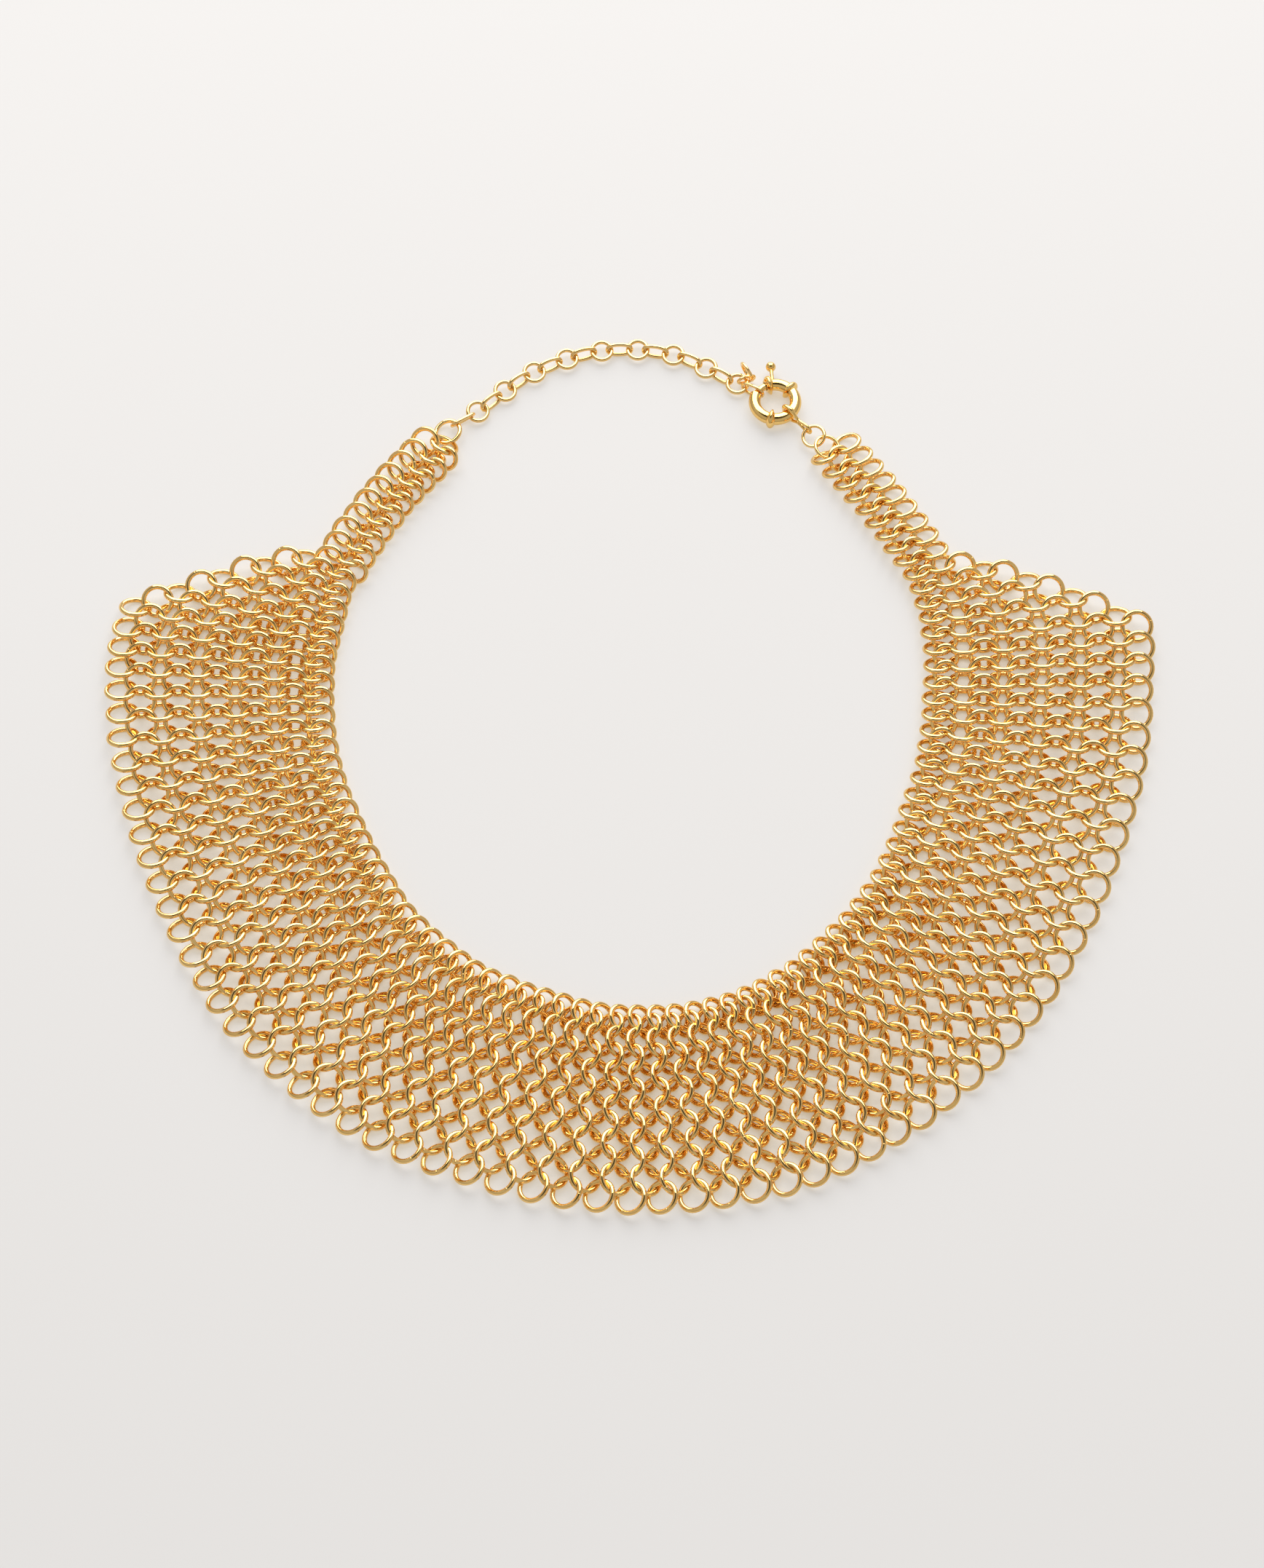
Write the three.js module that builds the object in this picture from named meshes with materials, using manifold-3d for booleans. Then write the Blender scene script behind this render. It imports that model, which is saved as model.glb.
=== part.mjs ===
// Chain-mail choker: a wide bib of mail with two narrow straps, an extension chain and a
// spring-ring clasp, laid out flat. Millimetres, +Z up, flat undersides on z = 0.
import * as THREE from 'three';
import Module from 'manifold-3d';
import { mergeVertices } from 'three/addons/utils/BufferGeometryUtils.js';

// ---- driving dimensions -------------------------------------------------------------
const SLAB_TOP = 2.2;          // the mail's solid web
const RIDGE_FOOT = 1.2;        // ridges start inside the web
const RIDGE_TOP = 4.45;        // crest of the standing ring rows
const RIDGE_FOOT_HALF = 1.15;
const RIDGE_TOP_HALF = 0.6;
const GAP_HALF = 0.15;         // half the gap between neighbouring panels
const BIB_FIRST = -4;          // border rows that bound the bib and the straps
const BIB_LAST = 68;
const PANEL_ROWS = 6;
const COLUMNS = 6;
const LOOP_REACH = 3.68;       // half size of an outermost ring, across the row
const LOOP_HALF = 3.25;        // and along it, at the stepped ends
const LOOP_ROWS = 0.48;        // elsewhere the rings crowd to this share of a row
const SCALLOP_REACH = 3.15;    // inner edge rings
const SCALLOP_VALLEY = 2.2;
const SCALLOP_HALF = 2.7;
const EYE_OFFSET = 1.2;        // open middle of an outermost ring
const EYE_REACH = 1.4;
const EYE_ROWS = 0.3;
const WEB_EYE_COLUMN = 5;      // small openings of the web between two ridges
const WEB_EYE_REACH = 1.15;
const WEB_EYE_ROWS = 0.13;
const MAIL_WIRE = 0.5;         // wire radius of the two end rings that hold the fittings
const MAIL_END_RING = 2.6;

const CHAIN_RING = 2.25;       // centreline radius of the round links
const CHAIN_WIRE = 0.37;
const CHAIN_LINKS = 17;        // round and oval links in turn
const ROUND_HEIGHT = 1.52;     // the round links hang in the standing ovals
const OVAL_HEIGHT = 1.58;
const OVAL_LEAN = 64;
const OVAL_HALF_LENGTH = 2.98;
const OVAL_HALF_WIDTH = 1.3;

const CLASP_CENTRE = [32.5, 88.2, 2.27];
const CLASP_RING = 4.6;
const CLASP_TUBE = 1.35;
const CLASP_BORE = 1;
const CLASP_COLLAR = 2.2;
const GATE_PIN = 0.8;
const GATE_FROM = 86;          // degrees about the clasp's own centre
const GATE_TO = 160;
const BORE_FROM = 43;
const SLOT_FROM = 48;
const SLOT_TO = 101;
const MOUTH_RIGHT = 117;
const MOUTH_LEFT = 156;
const POCKET_END = 163;
const KNOB_ANGLE = 95;
const STEM_RADIUS = 0.45;
const KNOB_RADIUS = 1.15;
const KNOB_DISTANCE = 9.4;
const COLLARS = [106.5, 43, 258];
const COLLAR_HALF = 5.5;       // degrees to either side
const EIGHT_ANGLE = -45.5;     // where the figure-eight goes round the clasp
const EIGHT_WIRE = 0.35;

// The mail's neckline: one row of the table for each section along the ring rows.
// row: ring row number; x, y: neckline point; bearing: outward direction in degrees;
// pitch: spacing of the ring columns.
const SECTIONS = [
  { row: -13.0, x: -42.5, y: 77.5, bearing: 139, pitch: 7.5 },
  { row: -8.0, x: -54.5, y: 62.0, bearing: 146, pitch: 7.5 },
  { row: -3.5, x: -63.5, y: 46.0, bearing: 155, pitch: 7.6 },
  { row: 0.0, x: -67.0, y: 32.5, bearing: 169, pitch: 8.1 },
  { row: 4.0, x: -69.0, y: 18.0, bearing: 177, pitch: 8.3 },
  { row: 10.0, x: -66.0, y: -6.0, bearing: 192, pitch: 7.9 },
  { row: 18.0, x: -52.5, y: -35.5, bearing: 216, pitch: 7.9 },
  { row: 22.0, x: -41.5, y: -48.0, bearing: 229, pitch: 7.8 },
  { row: 26.0, x: -28.0, y: -57.0, bearing: 243, pitch: 7.7 },
  { row: 33.0, x: 0.0, y: -64.5, bearing: 270, pitch: 7.5 },
  { row: 40.0, x: 27.0, y: -59.0, bearing: 295, pitch: 7.6 },
  { row: 48.0, x: 51.5, y: -37.0, bearing: 322, pitch: 7.7 },
  { row: 56.0, x: 65.0, y: -5.5, bearing: 347, pitch: 8.0 },
  { row: 61.0, x: 68.0, y: 14.5, bearing: 360, pitch: 8.3 },
  { row: 65.0, x: 68.0, y: 31.0, bearing: 367, pitch: 8.4 },
  { row: 68.5, x: 64.5, y: 44.5, bearing: 381, pitch: 7.6 },
  { row: 73.0, x: 55.5, y: 60.0, bearing: 393, pitch: 7.5 },
  { row: 77.5, x: 45.0, y: 75.0, bearing: 399, pitch: 7.5 },
];
const SECTION_KEYS = ['x', 'y', 'bearing', 'pitch'];

// Route of the extension chain, through every fourth link; lean: tilt of its round links.
const CHAIN_ROUTE = [
  { x: -34.4, y: 86.1, lean: 12 },
  { x: -21.8, y: 96.6, lean: 7 },
  { x: -6.2, y: 102.4, lean: 5 },
  { x: 9.8, y: 101.2, lean: 5 },
  { x: 24.1, y: 93.5, lean: 7 },
];

// Upper half of the figure-eight, measured from the middle of the clasp's tube.
const EIGHT_OUTLINE = [
  { along: -1.87, height: 0 },
  { along: -1.32, height: 1.32 },
  { along: 0, height: 1.87 },
  { along: 1.3, height: 1.35 },
  { along: 2.5, height: 0.62 },
  { along: 3.6, height: 0.62 },
  { along: 5.1, height: 1.0 },
  { along: 6.2, height: 0.7 },
  { along: 6.55, height: 0 },
];

// Single links. x, y, z: centre; tilt: lean of the link's normal from vertical;
// heading: direction it leans to; along: direction of the long side.
const FITTINGS = [
  {
    name: 'strap_end_ring', x: -41.34, y: 81.25, z: 1.32,
    tilt: 16.5, heading: 161, along: 50, length: 5.7, width: 5.7, wire: 0.5,
  },
  {
    name: 'connector_link', x: -37.6, y: 83.75, z: 1.74,
    tilt: 85.5, heading: 123, along: 40, length: 5.9, width: 2.5, wire: 0.4,
  },
  {
    name: 'hook_link', x: 27.5, y: 91.45, z: 2,
    tilt: 96, heading: 56.5, along: 32, length: 5.6, width: 2.9, wire: 0.35,
  },
  {
    name: 'tail_link', x: 26.15, y: 94.52, z: 1.73,
    tilt: 88, heading: 108, along: 25, length: 3.9, width: 2.3, wire: 0.35,
  },
  {
    name: 'tail_ring', x: 26.3, y: 95.4, z: 3.6,
    tilt: 80, heading: 32, along: 0, length: 4.4, width: 4.4, wire: 0.36,
  },
  {
    name: 'jump_ring_outer', x: 41, y: 79.05, z: 2.3,
    tilt: 18, heading: 214, along: 0, length: 4.9, width: 4.9, wire: 0.4,
  },
  {
    name: 'jump_ring_inner', x: 43.62, y: 76.33, z: 2.64,
    tilt: 36.5, heading: 54.5, along: 23, length: 4.9, width: 4.9, wire: 0.4,
  },
];

const rad = THREE.MathUtils.degToRad;
const wasm = await Module();
wasm.setup();

// ---- the mail's grid of rows and columns ----------------------------------------------
function slope(index, key) {
  const after = SECTIONS[Math.min(index + 1, SECTIONS.length - 1)];
  const before = SECTIONS[Math.max(index - 1, 0)];
  return (after[key] - before[key]) / (after.row - before.row);
}

function section(row) {
  let index = SECTIONS.findIndex((item) => item.row >= row) - 1;
  if (index === -2) index = SECTIONS.length - 2;
  index = Math.max(index, 0);
  const a = SECTIONS[index];
  const b = SECTIONS[index + 1];
  const span = b.row - a.row;
  const t = (row - a.row) / span;
  const result = {};
  for (const key of SECTION_KEYS) {
    result[key] = (2 * t ** 3 - 3 * t ** 2 + 1) * a[key]
      + (t ** 3 - 2 * t ** 2 + t) * slope(index, key) * span
      + (3 * t ** 2 - 2 * t ** 3) * b[key]
      + (t ** 3 - t ** 2) * slope(index + 1, key) * span;
  }
  return result;
}

// Directions at a row: out of the neck opening, and forward along the rows.
function directions(row) {
  const angle = rad(section(row).bearing);
  const out = new THREE.Vector2(Math.cos(angle), Math.sin(angle));
  return { out, forward: new THREE.Vector2(-out.y, out.x) };
}

function at(row, column) {
  const s = section(row);
  const { out } = directions(row);
  return new THREE.Vector2(s.x, s.y).addScaledVector(out, (column - 1) * s.pitch);
}

function offset(row, column, outward, forward) {
  const d = directions(row);
  return at(row, column).addScaledVector(d.out, outward).addScaledVector(d.forward, forward);
}

// Outermost column of the ring rows; the bib's upper ends step down to the straps.
const lastColumn = (row) => Math.min(COLUMNS, row + 5, 70 - row);

// The slanted seam between two rows, from the neckline to the outer edge.
const seamRow = (row, column) => row + 0.75 - 0.05 * (column - 1);

// Outline of one ring that ends a row: whole size, or crowded by its neighbours.
function freeArc(row, column, degrees) {
  return degrees.map((angle) => offset(row, column,
    LOOP_REACH * Math.sin(rad(angle)), LOOP_HALF * Math.cos(rad(angle))));
}

function crowdedArc(row, degrees) {
  return degrees.map((angle) => offset(row + LOOP_ROWS * Math.cos(rad(angle)), COLUMNS,
    LOOP_REACH * Math.sin(rad(angle)), 0));
}

// ---- mail panels ----------------------------------------------------------------------
// Outer edge of a bib panel, from its last row back to its first.
function outerEdge(first, last) {
  const points = [];
  for (let row = last; row > first; row -= 1) {
    const column = lastColumn(row);
    if (row >= 1 && row <= 64) points.push(...crowdedArc(row, [22, 68, 112, 158]));
    else if (row > 64) points.push(...freeArc(row, column, [-10, 30, 70, 110]));
    else points.push(...freeArc(row + 0.5, column + 0.5, [70, 110, 150, 190]));
  }
  return points;
}

// Neckline edge of a panel, from its first row on to its last.
function neckEdge(first, last, endValley) {
  const points = [];
  for (let row = first + 1; row <= last; row += 1) {
    const centre = row + 0.5;
    points.push(offset(centre, 0.77, -SCALLOP_REACH, -0.35 * SCALLOP_HALF));
    points.push(offset(centre, 0.77, -SCALLOP_REACH, 0.35 * SCALLOP_HALF));
    if (row < last || endValley) points.push(offset(row + 1, 0.77, -SCALLOP_VALLEY, 0));
  }
  return points;
}

// Moves a seam point along the rows, to leave the gap to the next panel.
function seamPoint(row, column, outward, side) {
  return offset(seamRow(row, column), column, outward, side * GAP_HALF);
}

function slab(outline, holes) {
  const shape = new THREE.Shape(outline.reverse());
  shape.holes = holes.map((hole) => new THREE.Path(hole));
  return solid(new THREE.ExtrudeGeometry(shape, { depth: SLAB_TOP, bevelEnabled: false }));
}

// A crest of standing rings: a bar with sloping sides along one ring row.
function ridge(row, from, to) {
  const start = at(row, from);
  const end = at(row, to);
  const { forward } = directions(row);
  const corners = [];
  for (const [z, half] of [[RIDGE_FOOT, RIDGE_FOOT_HALF], [RIDGE_TOP, RIDGE_TOP_HALF]]) {
    for (const [point, inset] of [[start, 1], [end, -1]]) {
      const shrink = inset * (RIDGE_FOOT_HALF - half);
      const along = end.clone().sub(start).normalize().multiplyScalar(shrink);
      for (const side of [-half, half]) {
        corners.push([point.x + along.x + side * forward.x, point.y + along.y + side * forward.y, z]);
      }
    }
  }
  return wasm.Manifold.hull(corners);
}

function eyeHoles(first, last) {
  const holes = [];
  for (let row = first + 1; row <= last; row += 1) {
    if (row < 1 || row > 64) continue;
    const hole = [0, 60, 120, 180, 240, 300].map((angle) => {
      const centre = row + EYE_ROWS * Math.cos(rad(angle));
      return offset(centre, COLUMNS, EYE_OFFSET + EYE_REACH * Math.sin(rad(angle)), 0);
    });
    holes.push(hole);
  }
  for (let row = Math.max(first + 2, 5); row <= Math.min(last, 60); row += 1) {
    const middle = row - 0.25;
    holes.push([
      offset(middle, WEB_EYE_COLUMN, -WEB_EYE_REACH, 0),
      offset(middle + WEB_EYE_ROWS, WEB_EYE_COLUMN, 0, 0),
      offset(middle, WEB_EYE_COLUMN, WEB_EYE_REACH, 0),
      offset(middle - WEB_EYE_ROWS, WEB_EYE_COLUMN, 0, 0),
    ]);
  }
  return holes;
}

function bibPanel(first, last) {
  const outerFirst = lastColumn(first + 0.5);
  const outerLast = lastColumn(last + 0.5);
  const outline = [
    seamPoint(first, 0.77, -SCALLOP_VALLEY, 1),
    ...neckEdge(first, last, false),
    seamPoint(last, 0.77, -SCALLOP_VALLEY, -1),
    seamPoint(last, outerLast, 1.4, -1),
    ...outerEdge(first, last),
    seamPoint(first, outerFirst, 1.4, 1),
  ];
  let body = slab(outline, eyeHoles(first, last));
  for (let row = first + 1; row <= last; row += 1) {
    body = body.add(ridge(row + 0.25, 0.85, lastColumn(row + 0.25)));
  }
  return body;
}

// A strap: a narrow band of mail, with one open ring at its upper end.
function strap(first, last, firstCrest, endRow) {
  const outline = [];
  for (let row = first; row <= last; row += 1) {
    outline.push(offset(row, 0.58, -SCALLOP_VALLEY, 0));
    if (row < last) outline.push(offset(row + 0.5, 0.58, -SCALLOP_REACH, 0));
  }
  for (let row = last; row >= first; row -= 1) {
    outline.push(offset(row, 1.5, 2.5, 0));
    if (row > first) outline.push(offset(row - 0.5, 1.5, 3.2, 0));
  }
  let body = slab(outline, []);
  for (let row = firstCrest; row < last - 0.3; row += 1) {
    body = body.add(ridge(row, 0.6, 1.45));
  }
  return body.add(endRing(endRow));
}

function endRing(row) {
  const { out, forward } = directions(row);
  const lean = rad(34);
  const away = Math.sin(lean);
  const normal = new THREE.Vector3(-forward.x * away, -forward.y * away, Math.cos(lean));
  const centre = at(row, 1);
  const ring = new THREE.TorusGeometry(MAIL_END_RING, MAIL_WIRE, 5, 12);
  ring.applyQuaternion(new THREE.Quaternion().setFromUnitVectors(new THREE.Vector3(0, 0, 1), normal));
  ring.translate(centre.x, centre.y, MAIL_END_RING * away + MAIL_WIRE);
  return solid(ring);
}

// ---- solids ---------------------------------------------------------------------------
function solid(geometry) {
  const bare = geometry.clone();
  bare.deleteAttribute('normal');
  bare.deleteAttribute('uv');
  const merged = mergeVertices(bare, 1e-4);
  return new wasm.Manifold(new wasm.Mesh({
    numProp: 3,
    vertProperties: new Float32Array(merged.attributes.position.array),
    triVerts: new Uint32Array(merged.index.array),
  }));
}

function geometryOf(body) {
  const mesh = body.getMesh();
  const geometry = new THREE.BufferGeometry();
  geometry.setAttribute('position', new THREE.BufferAttribute(mesh.vertProperties, 3));
  geometry.setIndex(new THREE.BufferAttribute(mesh.triVerts, 1));
  geometry.computeVertexNormals();
  return geometry;
}

const gold = () => new THREE.MeshStandardMaterial({ color: 0xd9a441, roughness: 0.25, metalness: 1 });

function addMesh(parent, name, geometry) {
  const mesh = new THREE.Mesh(geometry, gold());
  mesh.name = name;
  parent.add(mesh);
  return mesh;
}

// ---- links ----------------------------------------------------------------------------
class Oval extends THREE.Curve {
  constructor(halfLength, halfWidth) {
    super();
    this.straight = halfLength - halfWidth;
    this.radius = halfWidth;
  }

  getPoint(t, target = new THREE.Vector3()) {
    const bend = Math.PI * this.radius;
    const run = 2 * this.straight;
    const distance = t * 2 * (bend + run);
    const half = distance >= bend + run ? -1 : 1;
    const local = distance % (bend + run);
    if (local < run) return target.set(half * (local - this.straight), -half * this.radius, 0);
    const angle = (local - run) / this.radius - Math.PI / 2;
    const x = this.straight + this.radius * Math.cos(angle);
    return target.set(half * x, half * this.radius * Math.sin(angle), 0);
  }
}

function roundLink(radius, wire) {
  return new THREE.TorusGeometry(radius, wire, 5, 12);
}

function ovalLink(halfLength, halfWidth, wire) {
  return closed(new THREE.TubeGeometry(new Oval(halfLength, halfWidth), 12, wire, 5, true));
}

function closed(geometry) {
  const bare = geometry.clone();
  bare.deleteAttribute('normal');
  bare.deleteAttribute('uv');
  const merged = mergeVertices(bare, 1e-4);
  merged.computeVertexNormals();
  return merged;
}

// Turns a link lying in the XY plane: its normal to the given one, its long side along.
function orient(mesh, normal, along) {
  const z = normal.clone().normalize();
  const x = along.clone().addScaledVector(z, -along.dot(z)).normalize();
  const y = new THREE.Vector3().crossVectors(z, x);
  mesh.quaternion.setFromRotationMatrix(new THREE.Matrix4().makeBasis(x, y, z));
}

function addChain(parent) {
  const points = CHAIN_ROUTE.map((point) => new THREE.Vector3(point.x, point.y, 0));
  const route = new THREE.CatmullRomCurve3(points, false, 'centripetal');
  for (let index = 0; index < CHAIN_LINKS; index += 1) {
    const t = index / (CHAIN_LINKS - 1);
    const along = route.getTangentAt(t);
    const side = new THREE.Vector3(-along.y, along.x, 0);
    const round = index % 2 === 0;
    const place = t * (CHAIN_ROUTE.length - 1);
    const before = CHAIN_ROUTE[Math.min(Math.floor(place), CHAIN_ROUTE.length - 2)];
    const after = CHAIN_ROUTE[CHAIN_ROUTE.indexOf(before) + 1];
    const lean = before.lean + (after.lean - before.lean) * (place - CHAIN_ROUTE.indexOf(before));
    const tilt = rad(round ? lean : OVAL_LEAN);
    const geometry = round
      ? roundLink(CHAIN_RING, CHAIN_WIRE)
      : ovalLink(OVAL_HALF_LENGTH, OVAL_HALF_WIDTH, CHAIN_WIRE);
    const number = Math.floor(index / 2) + 1;
    const link = addMesh(parent, round ? `chain_round_${number}` : `chain_oval_${number}`, geometry);
    link.position.copy(route.getPointAt(t));
    link.position.z = round ? ROUND_HEIGHT : OVAL_HEIGHT;
    const normal = new THREE.Vector3(0, 0, Math.cos(tilt)).addScaledVector(side, -Math.sin(tilt));
    orient(link, normal, along);
  }
}

function addFittings(parent) {
  for (const item of FITTINGS) {
    const geometry = item.length === item.width
      ? roundLink(item.length / 2, item.wire)
      : ovalLink(item.length / 2, item.width / 2, item.wire);
    const link = addMesh(parent, item.name, geometry);
    link.position.set(item.x, item.y, item.z);
    const normal = new THREE.Vector3().setFromSphericalCoords(1, rad(item.tilt), rad(item.heading));
    const lean = new THREE.Vector3(normal.z, normal.x, normal.y);
    orient(link, lean, new THREE.Vector3(Math.cos(rad(item.along)), Math.sin(rad(item.along)), 0));
  }
}

// ---- clasp ----------------------------------------------------------------------------
class Arc extends THREE.Curve {
  constructor(radius, from, to) {
    super();
    this.radius = radius;
    this.from = rad(from);
    this.to = rad(to);
  }

  getPoint(t, target = new THREE.Vector3()) {
    const angle = this.from + t * (this.to - this.from);
    return target.set(this.radius * Math.cos(angle), this.radius * Math.sin(angle), 0);
  }
}

function polygon(radius, sides) {
  const points = [];
  for (let index = 0; index < sides; index += 1) {
    const angle = (2 * Math.PI * index) / sides;
    points.push(new THREE.Vector2(radius * Math.cos(angle), radius * Math.sin(angle)));
  }
  return new THREE.Shape(points);
}

function arcRod(wire, from, to, sides) {
  const steps = Math.max(2, Math.round((to - from) / 15));
  const path = new Arc(CLASP_RING, from, to);
  return solid(new THREE.ExtrudeGeometry(polygon(wire, sides), {
    steps, extrudePath: path, bevelEnabled: false,
  }));
}

// A flat sector that opens the tube's outer side for the knob's stem.
function slotCutter() {
  const points = [];
  const half = STEM_RADIUS + 0.25;
  for (const [radius, angles] of [
    [CLASP_RING, [SLOT_FROM, 66, 84, SLOT_TO]],
    [CLASP_RING + 2, [SLOT_TO, 84, 66, SLOT_FROM]],
  ]) {
    for (const angle of angles) {
      points.push(new THREE.Vector2(radius * Math.cos(rad(angle)), radius * Math.sin(rad(angle))));
    }
  }
  const flat = new THREE.ExtrudeGeometry(new THREE.Shape(points.reverse()), {
    depth: 2 * half, bevelEnabled: false,
  });
  flat.translate(0, 0, -half);
  return solid(flat);
}

function claspBody() {
  let body = arcRod(CLASP_TUBE, MOUTH_LEFT, 360 + MOUTH_RIGHT, 10);
  for (const angle of COLLARS) {
    body = body.add(arcRod(CLASP_COLLAR, angle - COLLAR_HALF, angle + COLLAR_HALF, 10));
  }
  return geometryOf(body
    .subtract(arcRod(CLASP_BORE, BORE_FROM, MOUTH_RIGHT + 5, 8))
    .subtract(arcRod(CLASP_BORE, MOUTH_LEFT - 5, POCKET_END, 8))
    .subtract(slotCutter()));
}

function claspGate() {
  const stem = new THREE.CylinderGeometry(STEM_RADIUS, STEM_RADIUS, KNOB_DISTANCE - CLASP_RING, 7);
  stem.translate(0, (CLASP_RING + KNOB_DISTANCE) / 2, 0);
  stem.rotateZ(rad(KNOB_ANGLE - 90));
  const knob = new THREE.SphereGeometry(KNOB_RADIUS, 9, 6);
  knob.translate(0, KNOB_DISTANCE, 0);
  knob.rotateZ(rad(KNOB_ANGLE - 90));
  return geometryOf(arcRod(GATE_PIN, GATE_FROM, GATE_TO, 7).add(solid(stem)).add(solid(knob)));
}

// A figure-eight link: its large loop goes round the clasp's tube, its small one
// holds the jump rings.
function figureEight() {
  const upper = EIGHT_OUTLINE.map((point) => new THREE.Vector3(point.along, 0, point.height));
  const lower = upper.slice(1, -1).reverse().map((point) => new THREE.Vector3(point.x, 0, -point.z));
  const curve = new THREE.CatmullRomCurve3([...upper, ...lower], true, 'centripetal');
  return closed(new THREE.TubeGeometry(curve, 20, EIGHT_WIRE, 5, true));
}

function addClasp(parent) {
  const clasp = new THREE.Group();
  clasp.position.set(...CLASP_CENTRE);
  addMesh(clasp, 'clasp_body', claspBody());
  addMesh(clasp, 'clasp_gate', claspGate());
  parent.add(clasp);
  const seat = new THREE.Vector3(
    CLASP_RING * Math.cos(rad(EIGHT_ANGLE)), CLASP_RING * Math.sin(rad(EIGHT_ANGLE)), 0);
  const eight = addMesh(parent, 'clasp_eight', figureEight());
  eight.position.copy(seat.add(clasp.position));
  eight.rotation.z = rad(EIGHT_ANGLE);
}

// ---- the whole necklace ---------------------------------------------------------------
const necklace = new THREE.Group();
necklace.name = 'mail_choker';

let panel = 1;
for (let first = BIB_FIRST; first < BIB_LAST; first += PANEL_ROWS) {
  const name = `mail_bib_${String(panel).padStart(2, '0')}`;
  addMesh(necklace, name, geometryOf(bibPanel(first, first + PANEL_ROWS)));
  panel += 1;
}
addMesh(necklace, 'mail_strap_left', geometryOf(strap(-12.9, -3.4, -12.75, -13.3)));
addMesh(necklace, 'mail_strap_right', geometryOf(strap(68.87, 77.3, 69.25, 77.6)));
addChain(necklace);
addFittings(necklace);
addClasp(necklace);

export default necklace;
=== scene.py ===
import math

import bmesh
import bpy
import numpy as np
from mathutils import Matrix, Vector


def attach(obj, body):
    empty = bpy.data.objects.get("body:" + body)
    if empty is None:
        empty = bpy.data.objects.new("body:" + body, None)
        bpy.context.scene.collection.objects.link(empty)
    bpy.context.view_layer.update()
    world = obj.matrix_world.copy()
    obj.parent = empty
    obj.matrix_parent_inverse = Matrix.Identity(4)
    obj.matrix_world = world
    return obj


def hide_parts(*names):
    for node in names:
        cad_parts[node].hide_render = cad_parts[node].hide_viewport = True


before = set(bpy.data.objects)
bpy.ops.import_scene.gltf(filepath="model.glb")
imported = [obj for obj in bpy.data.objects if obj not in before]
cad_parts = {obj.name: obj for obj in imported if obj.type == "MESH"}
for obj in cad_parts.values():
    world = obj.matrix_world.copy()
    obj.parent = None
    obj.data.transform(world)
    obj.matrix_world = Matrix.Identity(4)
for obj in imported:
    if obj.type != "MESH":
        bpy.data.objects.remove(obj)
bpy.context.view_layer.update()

# Chainmail choker laid out flat and closed by its clasp. Sizes are millimetres and angles
# are degrees unless a comment says otherwise; meshes are built in millimetres and scaled
# to metres when they are made.
MM = 0.001

# ---- sizes ---------------------------------------------------------------------------
MAIL_WIRE = 0.55            # wire radius of the mail
RING_MAIN = 3.15            # centreline radius of most mail rings
RING_NECK_FORWARD = 2.5     # neckline rings that lean forward
RING_NECK_BACKWARD = 2.6    # neckline rings that lean backward
NECK_COLUMN = 0.77          # column place of the neckline rings that lean backward
LEAN_INNER = 34.0           # lean of the rings at the neckline
LEAN_OUTER = 27.0           # and at the outer edge
COLUMNS = 6                 # rings across the bib
FIRST_ROW, LAST_ROW = -13, 77       # rows run from the left strap's end to the right one's
BIB_FIRST, BIB_LAST = -4, 68        # the bib's rows lie after the first, up to the last
PANEL_ROWS = 6              # rows in one length of the bib
LEAN_VARIES = 1.2           # chance spread of a ring's lean
PLACE_VARIES = 0.07         # and of its place
RANDOM_SEED = 100

RING_STEPS = 32             # steps round a mail ring, apart from its cut
CUT_STEPS = 3               # steps at the cut
CUT_HALF = 0.045            # half width of the cut where a ring's wire ends meet
CUT_WIRE = 0.80             # share of the wire's radius in the cut
CUT_CLEAR = 2.2             # the even steps start this many half widths from its middle
WIRE_SIDES = 12
LINK_SIDES = 16
LINK_STEPS = 64

CHAIN_SOLID_WIRE = 0.37     # wire radius of the chain's solids
CHAIN_WIRE = 0.45           # and of the visible chain
CHAIN_ROUNDS, CHAIN_OVALS = 9, 8
OVAL_TRIM = (0.16, 0.03)    # the visible ovals are a little shorter and narrower
OVAL_POWER = 0.84           # 1 is an ellipse, less is fuller at the corners
ROUND_BELOW = 1.1           # a link no longer than this many widths is round

# The clasp. Its angles run round its ring, from +X towards +Y.
CLASP_CENTRE = np.array([32.5, 88.2, 2.27])
CLASP_RING = 4.6            # centreline radius of the clasp's tube
CLASP_TUBE = 1.35           # radii of the tube, of its collars and of its bore
CLASP_COLLAR = 2.2
CLASP_BORE = 1.0
GATE_PIN = 0.8
GATE_FROM, GATE_TO = 86.0, 160.0
BORE_FROM = 43.0
SLOT_FROM, SLOT_TO = 48.0, 101.0
SLOT_CLEARANCE = 0.25       # room to either side of the stem in its slit
SLOT_REACH = 2.0            # how far the slit's cutter reaches out from the centreline
MOUTH_RIGHT, MOUTH_LEFT = 117.0, 156.0
POCKET_END = 163.0
BORE_OVERCUT = 5.0          # how far the bore's cutters stand out into the mouth
COLLARS = (106.5, 43.0, 258.0)
COLLAR_HALF = 9.5           # reach of a collar to either side
KNOB_ANGLE = 95.0
KNOB_DISTANCE = 9.4
KNOB_RADIUS = 1.15
STEM_RADIUS = 0.42
STEM_FLARE = 0.3            # share by which the stem widens under the knob
STEM_FLARE_FROM, STEM_FLARE_LENGTH = 7.6, 1.0
BODY_SHARP, GATE_SHARP = 35.0, 50.0     # edges sharper than this stay sharp
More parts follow.
